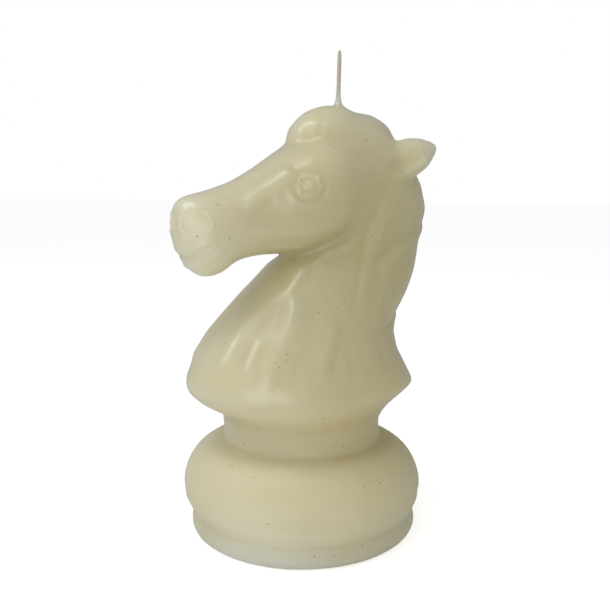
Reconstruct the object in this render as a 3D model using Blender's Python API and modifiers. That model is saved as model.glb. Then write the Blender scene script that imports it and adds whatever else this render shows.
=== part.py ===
"""Knight-shaped moulded wax candle: cast body, base top-up, cotton wick and wick tab.

Metres, +Z up. The origin is the centre of the underside and the horse faces -X.
The model is symmetric about the plane y = 0.
"""
import math

import bmesh
import bpy
from mathutils import Vector

# ---- driving dimensions -------------------------------------------------------------

GAP = 0.0003                  # clearance between pieces that touch on the real candle

# Turned base and collar.
UNDERSIDE_RADIUS = 0.0420
FOOT_RADIUS = 0.0451          # widest point of the lowest ring
FOOT_MID_Z = 0.0040
CREASE_RADIUS = 0.0443        # groove above the lowest ring
CREASE_Z = 0.0080
BAND_RADIUS = 0.0466          # slanted band between the groove and the bulge
BAND_Z = 0.0140
BULGE_RADIUS = 0.0474
BULGE_Z = 0.0182
BULGE_TOP_Z = 0.0360
COLLAR_RADIUS = 0.0312
COLLAR_TOP_Z = 0.0485         # the bust starts inside the top of the collar
SHOULDER_SINK = 0.0010        # the bulge's arc starts this far inside the collar
COLLAR_FILLET = 0.0012        # height of the fillet between the collar and the bulge
BASE_SEGMENTS = 56

# Wick.
WICK_X = 0.0148               # the wick leaves the crown behind the centre of the base
WICK_DIAMETER = 0.0016
WICK_TIP_Z = 0.1862
WICK_SIDES = 14
BORE_DIAMETER = WICK_DIAMETER + 2 * GAP
BORE_TOP_Z = 0.1800           # above the crown
CUT_BELOW = 0.0020            # cutters run this far below the underside

# Wick tab: a tinplate disc with a crimped neck, set into the underside.
TAB_RECESS_Z = 0.0005         # the disc sits this far above the table
TAB_RADIUS = 0.0080
TAB_THICKNESS = 0.0004
TAB_NECK_RADIUS = 0.0019
TAB_NECK_HEIGHT = 0.0060
TAB_FILLET_RADIUS = 0.0008    # spread of the neck where it leaves the disc
TAB_FILLET_HEIGHT = 0.0006
TAB_SOCKET_TOP_Z = 0.0200     # the hole through the tab is cut up to here
TAB_SEGMENTS = 32

# Top-up: the second pour that fills the shrinkage well in the underside.
FILL_RADIUS = 0.0270
FILL_DEPTH = 0.0095
FILL_CROWN_RADIUS = 0.0200    # flat top of the well
FILL_SHOULDER = (0.92, 0.55)  # shares of the radius and depth where the well turns upwards
FILL_SEGMENTS = 40

# Bust and neck, as level sections: height, front x, back x, half width.
NECK_SECTIONS = (
    (0.0450, -0.0303, 0.0303, 0.0303),
    (0.0472, -0.0318, 0.0312, 0.0312),
    (0.0502, -0.0364, 0.0328, 0.0334),
    (0.0533, -0.0422, 0.0370, 0.0350),
    (0.0560, -0.0453, 0.0422, 0.0362),
    (0.0586, -0.0470, 0.0462, 0.0366),
    (0.0630, -0.0468, 0.0438, 0.0356),
    (0.0710, -0.0433, 0.0394, 0.0325),
    (0.0790, -0.0380, 0.0380, 0.0294),
    (0.0870, -0.0306, 0.0406, 0.0266),
    (0.0950, -0.0228, 0.0462, 0.0243),
    (0.1020, -0.0154, 0.0496, 0.0226),
    (0.1085, -0.0082, 0.0510, 0.0212),
    (0.1150, -0.0030, 0.0512, 0.0206),
    (0.1190, -0.0010, 0.0530, 0.0204),
    (0.1270, 0.0000, 0.0548, 0.0200),
    (0.1360, 0.0000, 0.0526, 0.0190),
    (0.1440, 0.0010, 0.0480, 0.0178),
    (0.1520, 0.0030, 0.0415, 0.0158),
    (0.1580, 0.0050, 0.0352, 0.0130),
    (0.1615, 0.0090, 0.0298, 0.0090),
)
NECK_SQUARENESS = 2.15        # 2 is an ellipse, more is boxier
NECK_SIDES = 36

# Head, as upright sections across the nose: x, underside z, top z, half width.
HEAD_SECTIONS = (
    (-0.0527, 0.1140, 0.1268, 0.0060),
    (-0.0510, 0.1098, 0.1298, 0.0090),
    (-0.0478, 0.1048, 0.1312, 0.0114),
    (-0.0430, 0.1018, 0.1324, 0.0126),
    (-0.0375, 0.1028, 0.1340, 0.0128),
    (-0.0310, 0.1070, 0.1364, 0.0126),
    (-0.0250, 0.1086, 0.1395, 0.0132),
    (-0.0190, 0.1093, 0.1430, 0.0150),
    (-0.0130, 0.1093, 0.1468, 0.0174),
    (-0.0070, 0.1090, 0.1508, 0.0196),
    (0.0000, 0.1094, 0.1550, 0.0210),
    (0.0080, 0.1114, 0.1570, 0.0214),
    (0.0150, 0.1170, 0.1570, 0.0196),
    (0.0220, 0.1260, 0.1540, 0.0150),
)
HEAD_SQUARENESS = 2.25
HEAD_SIDES = 30

# Forelock: the rounded mass of hair over the forehead, up to the wick.
FORELOCK_CENTRE = (0.0122, 0.0, 0.1506)
FORELOCK_RADII = (0.0192, 0.0142, 0.0154)

# Crest: the hair behind the forelock, between the ears.
CREST_CENTRE = (0.0252, 0.0, 0.1514)
CREST_RADII = (0.0152, 0.0120, 0.0130)

# Ears: root and tip of the near ear; the far ear is its mirror image.
EAR_ROOT = (0.0270, 0.0110, 0.1415)
EAR_TIP = (0.0492, 0.0180, 0.1512)
EAR_RADIUS = 0.0084
EAR_FLATTENING = 0.62
EAR_SIDES = 14
EAR_SWELL = (                 # share of the way to the tip, share of the full radius
    (0.0, 0.70), (0.2, 0.94), (0.4, 1.0), (0.6, 0.90), (0.8, 0.66), (0.94, 0.34),
    (1.0, 0.14),
)
EAR_LEAN = 0.35               # how far the ear's broad face turns up, against outwards

# name: (base colour, roughness, metallic)
FINISHES = {
    "wax": ((0.56, 0.50, 0.32), 0.32, 0.0),
    "top_up_wax": ((0.58, 0.53, 0.36), 0.45, 0.0),
    "waxed_cotton": ((0.62, 0.57, 0.44), 0.75, 0.0),
    "tinplate": ((0.70, 0.70, 0.69), 0.30, 1.0),
}


# ---- scene and helpers --------------------------------------------------------------

def clear_scene():
    for item in list(bpy.data.objects):
        bpy.data.objects.remove(item, do_unlink=True)


def new_collection(name):
    collection = bpy.data.collections.new(name)
    bpy.context.scene.collection.children.link(collection)
    return collection


def finish_material(name):
    colour, roughness, metallic = FINISHES[name]
    material = bpy.data.materials.new(name)
    material.use_nodes = True
    shader = material.node_tree.nodes["Principled BSDF"]
    shader.inputs["Base Color"].default_value = (*colour, 1.0)
    shader.inputs["Roughness"].default_value = roughness
    shader.inputs["Metallic"].default_value = metallic
    return material


def add_object(name, mesh, collection, finish=None):
    item = bpy.data.objects.new(name, mesh)
    collection.objects.link(item)
    if finish:
        mesh.materials.append(finish_material(finish))
    return item


def add_cutter(name, mesh, collection):
    item = add_object(name, mesh, collection)
    item.hide_render = True
    item.display_type = "WIRE"
    return item


def combine(target, other, operation):
    modifier = target.modifiers.new(other.name, "BOOLEAN")
    modifier.operation = operation
    modifier.solver = "EXACT"
    modifier.object = other


def smooth(mesh, degrees=40.0):
    mesh.shade_smooth()
    mesh.set_sharp_from_angle(angle=math.radians(degrees))


def turned_solid(name, profile, collection, segments, centre_x=0.0):
    """Turn an (x, z) profile that runs from the top centre down its outer side."""
    mesh = bpy.data.meshes.new(name)
    points = [(radius, 0.0, height) for radius, height in profile]
    mesh.from_pydata(points, [(i, i + 1) for i in range(len(points) - 1)], [])
    item = add_object(name, mesh, collection)
    item.location.x = centre_x
    screw = item.modifiers.new("turn", "SCREW")
    screw.steps = segments
    screw.render_steps = segments
    screw.use_merge_vertices = True
    screw.merge_threshold = 0.00002
    return item


def loft_mesh(name, rings):
    """Join equal-length rings of points into one closed skin."""
    builder = bmesh.new()
    rows = [[builder.verts.new(point) for point in ring] for ring in rings]
    for lower, upper in zip(rows, rows[1:]):
        for i in range(len(lower)):
            j = (i + 1) % len(lower)
            builder.faces.new((lower[i], lower[j], upper[j], upper[i]))
    builder.faces.new(list(reversed(rows[0])))
    builder.faces.new(rows[-1])
    bmesh.ops.recalc_face_normals(builder, faces=builder.faces)
    mesh = bpy.data.meshes.new(name)
    builder.to_mesh(mesh)
    builder.free()
    smooth(mesh)
    return mesh


def oval(count, half_u, half_v, squareness):
    """Points (u, v) around a superellipse."""
    points = []
    for i in range(count):
        angle = math.tau * i / count
        cosine, sine = math.cos(angle), math.sin(angle)
        u = math.copysign(abs(cosine) ** (2.0 / squareness), cosine)
        v = math.copysign(abs(sine) ** (2.0 / squareness), sine)
        points.append((half_u * u, half_v * v))
    return points


def ball_mesh(name, centre, radii, segments=28, rings=14):
    builder = bmesh.new()
    bmesh.ops.create_uvsphere(builder, u_segments=segments, v_segments=rings, radius=1.0)
    bmesh.ops.scale(builder, vec=radii, verts=builder.verts)
    bmesh.ops.translate(builder, vec=centre, verts=builder.verts)
    mesh = bpy.data.meshes.new(name)
    builder.to_mesh(mesh)
    builder.free()
    return mesh


# ---- wax body -----------------------------------------------------------------------

def arc(centre, radius_x, radius_z, start, end, count):
    """Points (x, z) along part of an ellipse; angles in degrees from +x."""
    points = []
    for i in range(count + 1):
        angle = math.radians(start + (end - start) * i / count)
        x = centre[0] + radius_x * math.cos(angle)
        z = centre[1] + radius_z * math.sin(angle)
        points.append((x, z))
    return points


def base_profile():
    """Outer side of the collar, bulge, band and foot, from the top down."""
    shoulder = arc((COLLAR_RADIUS - SHOULDER_SINK, BULGE_Z),
                   BULGE_RADIUS - COLLAR_RADIUS + SHOULDER_SINK, BULGE_TOP_Z - BULGE_Z,
                   84.0, 0.0, 9)
    foot = arc((UNDERSIDE_RADIUS, FOOT_MID_Z), FOOT_RADIUS - UNDERSIDE_RADIUS,
               FOOT_MID_Z, 30.0, -90.0, 6)
    return ([(0.0, COLLAR_TOP_Z), (COLLAR_RADIUS, COLLAR_TOP_Z),
             (COLLAR_RADIUS, BULGE_TOP_Z + COLLAR_FILLET)]
            + shoulder
            + [(BAND_RADIUS, BAND_Z), (CREASE_RADIUS, CREASE_Z)]
            + foot + [(0.0, 0.0)])


def neck_rings():
    rings = []
    for height, front, back, half_width in NECK_SECTIONS:
        middle = (front + back) / 2
        outline = oval(NECK_SIDES, (back - front) / 2, half_width, NECK_SQUARENESS)
        rings.append([Vector((middle + u, v, height)) for u, v in outline])
    return rings


def head_rings():
    rings = []
    for x, low, high, half_width in HEAD_SECTIONS:
        middle = (low + high) / 2
        outline = oval(HEAD_SIDES, half_width, (high - low) / 2, HEAD_SQUARENESS)
        rings.append([Vector((x, u, middle + v)) for u, v in outline])
    return rings


def ear_rings(side):
    """A pointed, flattened leaf from the root to the tip; side is -1 near, +1 far."""
    root = Vector((EAR_ROOT[0], side * EAR_ROOT[1], EAR_ROOT[2]))
    tip = Vector((EAR_TIP[0], side * EAR_TIP[1], EAR_TIP[2]))
    along = (tip - root).normalized()
    across = along.cross(Vector((0.0, side, EAR_LEAN))).normalized()
    out = across.cross(along)
    rings = []
    for share, swell in EAR_SWELL:
        centre = root.lerp(tip, share)
        outline = oval(EAR_SIDES, EAR_RADIUS * swell, EAR_RADIUS * EAR_FLATTENING * swell, 2.0)
        rings.append([centre + across * u + out * v for u, v in outline])
    return rings


def fill_profile(extra):
    """Outline of the top-up, or with extra > 0 of the well around it."""
    return [(0.0, FILL_DEPTH + extra), (FILL_CROWN_RADIUS, FILL_DEPTH + extra),
            (FILL_RADIUS * FILL_SHOULDER[0] + extra, FILL_DEPTH * FILL_SHOULDER[1] + extra / 2),
            (FILL_RADIUS + extra, 0.0)]


def build_wax_body(parts, cutters):
    body = turned_solid("wax_body", base_profile(), parts, BASE_SEGMENTS)
    body.data.materials.append(finish_material("wax"))
    additions = [("neck_form", loft_mesh("neck_form", neck_rings())),
                 ("head_form", loft_mesh("head_form", head_rings())),
                 ("forelock_form", ball_mesh("forelock_form", FORELOCK_CENTRE, FORELOCK_RADII)),
                 ("crest_form", ball_mesh("crest_form", CREST_CENTRE, CREST_RADII)),
                 ("near_ear_form", loft_mesh("near_ear_form", ear_rings(-1))),
                 ("far_ear_form", loft_mesh("far_ear_form", ear_rings(1)))]
    for name, mesh in additions:
        combine(body, add_cutter(name, mesh, cutters), "UNION")

    well_profile = fill_profile(GAP)
    below = [(well_profile[-1][0], -CUT_BELOW), (0.0, -CUT_BELOW)]
    well = turned_solid("shrinkage_well", well_profile + below, cutters, FILL_SEGMENTS)
    well.hide_render = True
    well.display_type = "WIRE"
    combine(body, well, "DIFFERENCE")
    combine(body, wick_bore("body_bore", cutters), "DIFFERENCE")


# ---- wick, tab and top-up -----------------------------------------------------------

def rod_mesh(name, radius, low, high, segments):
    builder = bmesh.new()
    bmesh.ops.create_cone(builder, cap_ends=True, segments=segments, radius1=radius,
                          radius2=radius, depth=high - low)
    bmesh.ops.translate(builder, vec=(WICK_X, 0.0, (low + high) / 2), verts=builder.verts)
    mesh = bpy.data.meshes.new(name)
    builder.to_mesh(mesh)
    builder.free()
    return mesh


def wick_bore(name, cutters):
    """The hole that the wick fills, through the whole height."""
    mesh = rod_mesh(name, BORE_DIAMETER / 2, -CUT_BELOW, BORE_TOP_Z, WICK_SIDES)
    return add_cutter(name, mesh, cutters)


def build_wick(parts):
    low = TAB_RECESS_Z + TAB_THICKNESS + GAP
    mesh = rod_mesh("wick", WICK_DIAMETER / 2, low, WICK_TIP_Z, WICK_SIDES)
    smooth(mesh)
    add_object("wick", mesh, parts, "waxed_cotton")


def tab_profile(grow):
    """Outline of the tab, or with grow > 0 of the recess that it sits in."""
    top = TAB_RECESS_Z + TAB_THICKNESS
    return [(0.0, top + TAB_NECK_HEIGHT + grow),
            (TAB_NECK_RADIUS + grow, top + TAB_NECK_HEIGHT + grow),
            (TAB_NECK_RADIUS + grow, top + TAB_FILLET_HEIGHT + grow),
            (TAB_NECK_RADIUS + TAB_FILLET_RADIUS + grow, top + grow),
            (TAB_RADIUS + grow, top + grow)]


def build_wick_tab(parts, cutters):
    outline = tab_profile(0.0) + [(TAB_RADIUS, TAB_RECESS_Z), (0.0, TAB_RECESS_Z)]
    tab = turned_solid("wick_tab", outline, parts, TAB_SEGMENTS, WICK_X)
    tab.data.materials.append(finish_material("tinplate"))
    top = TAB_RECESS_Z + TAB_THICKNESS
    socket = rod_mesh("tab_socket", BORE_DIAMETER / 2, top, TAB_SOCKET_TOP_Z, WICK_SIDES)
    combine(tab, add_cutter("tab_socket", socket, cutters), "DIFFERENCE")


def build_base_fill(parts, cutters):
    fill = turned_solid("base_fill", fill_profile(0.0) + [(0.0, 0.0)], parts,
                        FILL_SEGMENTS)
    fill.data.materials.append(finish_material("top_up_wax"))
    outline = tab_profile(GAP) + [(TAB_RADIUS + GAP, -CUT_BELOW), (0.0, -CUT_BELOW)]
    recess = turned_solid("tab_recess", outline, cutters, TAB_SEGMENTS, WICK_X)
    recess.hide_render = True
    recess.display_type = "WIRE"
    combine(fill, recess, "DIFFERENCE")
    combine(fill, wick_bore("fill_bore", cutters), "DIFFERENCE")


def main():
    clear_scene()
    parts = new_collection("knight_candle")
    cutters = new_collection("cutters")
    build_wax_body(parts, cutters)
    build_base_fill(parts, cutters)
    build_wick(parts)
    build_wick_tab(parts, cutters)


main()
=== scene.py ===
"""Looks of the knight candle: the cast wax horse, its top-up pour, braided wick and wick tab.

Sculpting paths, widths and lifts are in millimetres; everything else is in metres. The horse faces
-x and both of its sides are alike, so a path is given for the near side, y < 0, and pressed
into both.
"""
import math

import bmesh
import bpy
import numpy as np
from mathutils import Matrix, Vector, noise
from mathutils.bvhtree import BVHTree


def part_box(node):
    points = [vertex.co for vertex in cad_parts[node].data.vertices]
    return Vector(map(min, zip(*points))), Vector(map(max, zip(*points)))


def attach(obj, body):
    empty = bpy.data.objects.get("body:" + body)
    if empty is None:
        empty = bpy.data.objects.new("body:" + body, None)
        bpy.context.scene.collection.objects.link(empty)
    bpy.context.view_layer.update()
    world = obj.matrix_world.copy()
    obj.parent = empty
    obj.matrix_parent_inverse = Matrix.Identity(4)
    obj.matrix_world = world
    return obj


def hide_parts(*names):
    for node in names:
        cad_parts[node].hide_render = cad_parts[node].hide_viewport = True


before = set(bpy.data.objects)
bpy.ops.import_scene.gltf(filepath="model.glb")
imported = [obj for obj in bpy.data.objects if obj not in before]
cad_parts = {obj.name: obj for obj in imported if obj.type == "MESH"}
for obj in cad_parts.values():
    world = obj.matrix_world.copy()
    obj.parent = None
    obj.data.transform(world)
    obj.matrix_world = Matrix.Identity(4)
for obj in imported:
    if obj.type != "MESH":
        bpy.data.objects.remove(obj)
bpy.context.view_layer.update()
bpy.ops.object.select_all(action="DESELECT")

MM = 0.001

# ---- sizes ------------------------------------------------------------------------------

def settled(value):
    """A size from the frame, to a hundredth of a millimetre."""
    return round(value, 5)


wick_low, wick_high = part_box("wick")
fill_low, fill_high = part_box("base_fill")
tab_low, tab_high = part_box("wick_tab")

GAP = 0.00012                  # the real pieces touch; this keeps their skins apart
CAST_GRID = 0.00098            # size of the faces of the cast skin

WICK_X = settled((wick_low.x + wick_high.x) / 2)
WICK_RADIUS = settled(wick_high.y)
WICK_LOW_Z = settled(wick_low.z)
WICK_TIP_Z = settled(wick_high.z + 0.7 * MM)      # the frayed end stands a little proud
BORE_SLACK = 0.00004           # the wax's holes are this much wider than the wick all round
BORE_TOP_Z = 0.160             # above this the wax clings to the wick
WICK_RINGS = 460
WICK_SIDES = 18
BRAID_PITCH = 0.0036           # height of one turn of a strand
BRAID_RELIEF = 0.045           # share of the radius
WICK_SWAY = 0.0002             # how far the free end leans

WELL_RADIUS = settled(fill_high.x)
WELL_DEPTH = settled(fill_high.z)
WELL_CROWN_RADIUS = 0.0200
WELL_SHOULDER = (0.92, 0.55)   # shares of the radius and depth where the well turns upwards
WELL_CUT_BELOW = 0.002         # cutters run this far below the underside

TAB_RADIUS = settled(tab_high.y)
TAB_LOW_Z = settled(tab_low.z)
TAB_NECK_TOP_Z = settled(tab_high.z)
TAB_THICKNESS = 0.0004
TAB_NECK_RADIUS = 0.0019
TAB_HOLE_RADIUS = 0.0009
TAB_BEAD = 0.00015             # depth of the ring pressed into the disc
CRIMP_Z = 0.0048
CRIMP_DEPTH = 0.00032


# ---- working with meshes ----------------------------------------------------------------

def activate(item):
    bpy.ops.object.select_all(action="DESELECT")
    item.select_set(True)
    bpy.context.view_layer.objects.active = item


def edit(item):
    activate(item)
    bpy.ops.object.mode_set(mode="EDIT")
    bpy.ops.mesh.select_all(action="SELECT")


def leave_edit():
    bpy.ops.object.mode_set(mode="OBJECT")


def apply_modifier(item, kind, **settings):
    activate(item)
    modifier = item.modifiers.new(kind.lower(), kind)
    for key, value in settings.items():
        setattr(modifier, key, value)
    bpy.ops.object.modifier_apply(modifier=modifier.name)


def combine(item, other, operation):
    apply_modifier(item, "BOOLEAN", operation=operation, solver="EXACT", object=other)
    bpy.data.objects.remove(other, do_unlink=True)


def place(item):
    """Put the object's place into its mesh."""
    activate(item)
    bpy.ops.object.transform_apply(location=True, rotation=True, scale=True)


def copy_of(node, name):
    item = bpy.data.objects.new(name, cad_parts[node].data.copy())
    bpy.context.scene.collection.objects.link(item)
    item.data.materials.clear()
    edit(item)
    bpy.ops.mesh.remove_doubles(threshold=1e-6)
    leave_edit()
    return item


def turned(name, profile, steps, centre_x=0.0):
    """Spin an outline of (radius, height) about an upright axis and close it."""
    bpy.ops.mesh.primitive_plane_add(size=1.0, location=(0, 0, 0))
    item = bpy.context.active_object
    item.name = item.data.name = name
    builder = bmesh.new()
    points = [builder.verts.new((radius, 0.0, height)) for radius, height in profile]
    for a, b in zip(points, points[1:]):
        builder.edges.new((a, b))
    builder.to_mesh(item.data)
    builder.free()
    edit(item)
    bpy.ops.mesh.spin(steps=steps, angle=math.tau, center=(0, 0, 0), axis=(0, 0, 1))
    bpy.ops.mesh.select_all(action="SELECT")
    bpy.ops.mesh.remove_doubles(threshold=2e-6)
    bpy.ops.mesh.normals_make_consistent(inside=False)
    leave_edit()
    item.location.x = centre_x
    place(item)
    return item


def round_bar(radius, low, high, sides, centre_x=0.0):
    bpy.ops.mesh.primitive_cylinder_add(vertices=sides, radius=radius, depth=high - low,
                                        location=(centre_x, 0, (high + low) / 2))
    return bpy.context.active_object


def wick_hole(item, low, high):
    """Cut the wick's hole through a piece."""
    bar = round_bar(WICK_RADIUS + BORE_SLACK, low, high, 24, WICK_X)
    combine(item, bar, "DIFFERENCE")


def points_of(mesh):
    flat = np.empty(len(mesh.vertices) * 3)
    mesh.vertices.foreach_get("co", flat)
    return flat.reshape(-1, 3)


def normals_of(mesh):
    flat = np.empty(len(mesh.vertices) * 3)
    mesh.vertex_normals.foreach_get("vector", flat)
    return flat.reshape(-1, 3)


def set_points(mesh, points):
    mesh.vertices.foreach_set("co", points.ravel())
    mesh.update()


def shade(item, sharp_from):
    """Smooth shading, with edges sharper than sharp_from degrees left crisp."""
    activate(item)
    bpy.ops.object.shade_smooth()
    bpy.ops.object.shade_smooth_by_angle(angle=math.radians(sharp_from))


def relax(mesh, rounds, strength, pull=0.5, push=-0.52):
    """Even out facets without shrinking: strength is 0 to 1 for each point."""
    points = points_of(mesh)
    ends = np.empty(len(mesh.edges) * 2, np.int32)
    mesh.edges.foreach_get("vertices", ends)
    a, b = ends.reshape(-1, 2).T
    count = np.bincount(a, minlength=len(points)) + np.bincount(b, minlength=len(points))
    count = np.maximum(count, 1)
    for _ in range(rounds):
        for factor in (pull, push):
            step = np.empty_like(points)
            for axis in range(3):
                column = points[:, axis]
                total = (np.bincount(a, column[b], len(points))
                         + np.bincount(b, column[a], len(points)))
                step[:, axis] = total / count - column
            points += step * (factor * strength)[:, None]
    set_points(mesh, points)


def soften(mesh, centre, reach, rounds):
    """Melt the edges within reach of a point, given for the near side, in millimetres."""
    near = points_of(mesh) / MM
    near[:, 1] = -np.abs(near[:, 1])
    away = np.linalg.norm((near - np.array(centre)) / np.array(reach), axis=1)
    relax(mesh, rounds, 1.0 - ramp(away, 0.5, 1.0), push=0.0)


def ramp(values, low, high):
    """Smooth 0 to 1 between low and high."""
    share = np.clip((values - low) / (high - low), 0.0, 1.0)
    return share * share * (3.0 - 2.0 * share)


# ---- sculpting --------------------------------------------------------------------------

FAR = 1e9
RIDGE_REACH = 3.2              # a ridge is felt this many widths away
STEP_REACH = 2.5


def curve_through(points, spacing=0.25):
    """Even points along a smooth curve through the given ones."""
    knots = [Vector(p) for p in points]
    knots = [knots[0] * 2 - knots[1]] + knots + [knots[-1] * 2 - knots[-2]]
    line = []
    for before, start, end, after in zip(knots, knots[1:], knots[2:], knots[3:]):
        steps = max(2, int((end - start).length / spacing))
        for i in range(steps):
            t = i / steps
            line.append(0.5 * (2 * start + (end - before) * t
                               + (2 * before - 5 * start + 4 * end - after) * t * t
                               + (3 * start - before - 3 * end + after) * t ** 3))
    line.append(knots[-2])
    return line


class Sculpt:
    """Presses ridges, grooves and steps into both sides of a mesh.

    near holds the points folded onto the near side, in millimetres. Lifts add up in lift, and
    apply moves every point along its normal by its lift.
    """

    def __init__(self, mesh):
        self.mesh = mesh
        self.refresh()

    def refresh(self):
        self.points = points_of(self.mesh)
        self.normals = normals_of(self.mesh)
        near = self.points / MM
        fold = np.ones_like(near)
        fold[near[:, 1] > 0, 1] = -1.0
        self.near = near * fold
        self.near_normals = self.normals * fold
        polygons = [tuple(p.vertices) for p in self.mesh.polygons]
        self.tree = BVHTree.FromPolygons([Vector(p) for p in points_of(self.mesh) / MM],
                                         polygons)
        self.lift = np.zeros(len(self.points))

    def apply(self):
        set_points(self.mesh, self.points + self.normals * (self.lift * MM)[:, None])
        self.refresh()

    def on_skin(self, point):
        spot, normal, _, _ = self.tree.find_nearest(Vector(point))
        return spot, normal

    def measure(self, path, reach):
        """Distance from the path, the side of it, and the share along it, near the path."""
        line = [self.on_skin(p) for p in curve_through(path)]
        spots = np.array([s for s, _ in line])
        skin = np.array([n for _, n in line])
        along = np.gradient(spots, axis=0)
        along /= np.maximum(np.linalg.norm(along, axis=1, keepdims=True), 1e-9)
        across = np.cross(skin, along)
        low, high = spots.min(0) - reach, spots.max(0) + reach
        chosen = np.nonzero(((self.near > low) & (self.near < high)).all(1))[0]
        distance = np.full(len(chosen), FAR)
        nearest = np.zeros(len(chosen), int)
        for i, spot in enumerate(spots):
            gap = np.linalg.norm(self.near[chosen] - spot, axis=1)
            closer = gap < distance
            distance[closer] = gap[closer]
            nearest[closer] = i
        offset = self.near[chosen] - spots[nearest]
        side = (offset * across[nearest]).sum(1)
        share = nearest / max(1, len(spots) - 1)
        facing = (self.near_normals[chosen] * skin[nearest]).sum(1)
        near = (distance < reach) & (facing > 0.0)
        return chosen[near], distance[near], side[near], share[near]

    def ridge(self, path, width, height, ends=0.12, grow=1.0):
        """A rounded ridge, or with height below 0 a groove.

        It fades out over the share of its length that ends gives, and grow widens it along
        the path.
        """
        chosen, distance, _, share = self.measure(path, RIDGE_REACH * width * grow)
        fade = 1.0
        if ends > 0:
            fade = ramp(share, 0.0, ends) * ramp(1.0 - share, 0.0, ends)
        wide = width * (1.0 + (grow - 1.0) * share)
        self.lift[chosen] += height * fade * np.exp(-(distance / wide) ** 2)

    def step(self, path, width, height, reach, ends):
        """The skin stands up on the path's left, seen from outside, and slopes back."""
        chosen, distance, side, share = self.measure(path, STEP_REACH * reach)
        fade = ramp(share, 0.0, ends) * ramp(1.0 - share, 0.0, ends)
        rise = 0.5 * (1.0 + np.tanh(side / width)) - 0.35 * np.exp(
            -((side + 1.5 * width) / (1.4 * width)) ** 2)
        self.lift[chosen] += height * fade * rise * np.exp(-(distance / reach) ** 2)

    def around(self, centre, up, reach):
        """Flat coordinates (forwards, up) on the skin about a centre."""
        spot, normal = self.on_skin(centre)
        normal = np.array(normal)
        up = np.array(up) - normal * np.dot(up, normal)
        up /= np.linalg.norm(up)
        ahead = np.cross(up, normal)
        offset = self.near - np.array(spot)
        distance = np.linalg.norm(offset, axis=1)
        chosen = np.nonzero((distance < reach) & (self.near_normals @ normal > 0.0))[0]
        return chosen, offset[chosen] @ ahead, offset[chosen] @ up


def bell(values, centre, width):
    """A smooth bump of height 1."""
    return np.exp(-((values - centre) / width) ** 2)


EYE = Vector((-8.7, -18.4, 135.0))
EAR = Vector((34.0, -17.0, 145.0))


def sculpt_eye(skin):
    """A ball in a socket, ringed by its lids, with a bag below."""
    chosen, ahead, up = skin.around(EYE, (0, 0, 1), 14.0)
    radius = np.hypot(ahead, up * 1.04)
    below = ramp(-up / np.maximum(radius, 0.1), -0.25, 0.55)
    socket = -0.55 * np.exp(-(radius / 6.6) ** 2)
    ball = 1.20 * np.exp(-(radius / 2.4) ** 2)
    lids = 0.36 * bell(radius, 4.0, 0.90)
    crease = -0.18 * bell(radius, 5.9, 1.1) * (0.30 + 0.70 * below)
    bag = 0.28 * bell(radius, 7.6, 1.30) * below
    lid_corner = 0.90 * bell(ahead, 2.9, 0.9) * bell(up, 2.5, 1.3)
    glint = 0.75 * bell(ahead, -1.5, 0.7) * bell(up, -0.9, 0.6)
    skin.lift[chosen] += socket + ball + lids + crease + bag + lid_corner + glint


NOSTRIL_FRONT = ((-51.2, -6.7, 125.4), (-52.2, -3.9, 123.8), (-52.4, -3.3, 121.2),
                 (-52.0, -4.8, 118.8), (-50.8, -7.6, 117.0))
NOSTRIL_BACK = ((-47.2, -10.4, 125.6), (-45.2, -11.3, 124.7), (-44.1, -12.1, 122.4),
                (-44.4, -12.2, 119.8), (-45.8, -11.8, 118.1))
NOSTRIL_MIDDLE = (-49.6, -8.9, 121.4)
NOSTRIL_BEADS = ((-51.7, -7.0, 121.6), (-45.9, -11.6, 121.8))


def sculpt_nostrils(skin):
    """A shallow hollow with a raised edge in front and behind, and a bead inside each edge."""
    skin.ridge(NOSTRIL_FRONT, 0.55, 0.75, ends=0.3)
    skin.ridge(NOSTRIL_BACK, 0.50, 0.75, ends=0.3)
    chosen, ahead, up = skin.around(NOSTRIL_MIDDLE, (0, 0, 1), 12.0)
    skin.lift[chosen] -= 0.35 * np.exp(-((ahead / 4.6) ** 2 + (up / 3.6) ** 2) ** 1.3)
    for centre in NOSTRIL_BEADS:
        chosen, ahead, up = skin.around(centre, (0, 0, 1), 4.0)
        skin.lift[chosen] += 0.42 * np.exp(-(np.hypot(ahead, up) / 1.35) ** 2)


def sculpt_mouth(skin):
    # the parting, deeper at the front
    mouth = ((-51.0, 0.0, 108.3), (-50.4, -3.4, 109.0), (-48.9, -8.2, 110.6),
             (-46.9, -10.9, 112.2), (-43.7, -12.3, 114.3), (-40.6, -12.5, 115.3))
    skin.ridge(mouth, 0.80, -0.32, ends=0.0)
    skin.ridge(((-51.0, 0.0, 108.2), (-50.6, -3.0, 108.8), (-49.2, -6.6, 109.8)), 0.7, -0.6,
               ends=0.0)
    # upper lip, then lower lip
    skin.ridge(((-50.8, -4.6, 111.4), (-49.3, -8.9, 113.0), (-46.4, -11.4, 114.4),
                (-43.1, -12.5, 115.9), (-40.8, -12.7, 117.2)), 0.95, 0.36, ends=0.2)
    skin.ridge(((-48.4, 0.0, 105.4), (-47.3, -6.4, 106.2), (-45.3, -9.7, 108.1),
                (-42.7, -11.7, 110.3), (-39.9, -12.1, 112.4)), 1.0, 0.45, ends=0.0)
    # crease of the chin, then the corner fold
    skin.ridge(((-46.5, -7.4, 104.4), (-43.5, -9.9, 106.4), (-40.2, -11.0, 108.8)),
               1.1, -0.22, ends=0.3)
    skin.ridge(((-46.8, -11.0, 111.4), (-44.2, -12.0, 112.6), (-41.4, -12.4, 113.6)),
               0.6, 0.35, ends=0.3)


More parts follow.
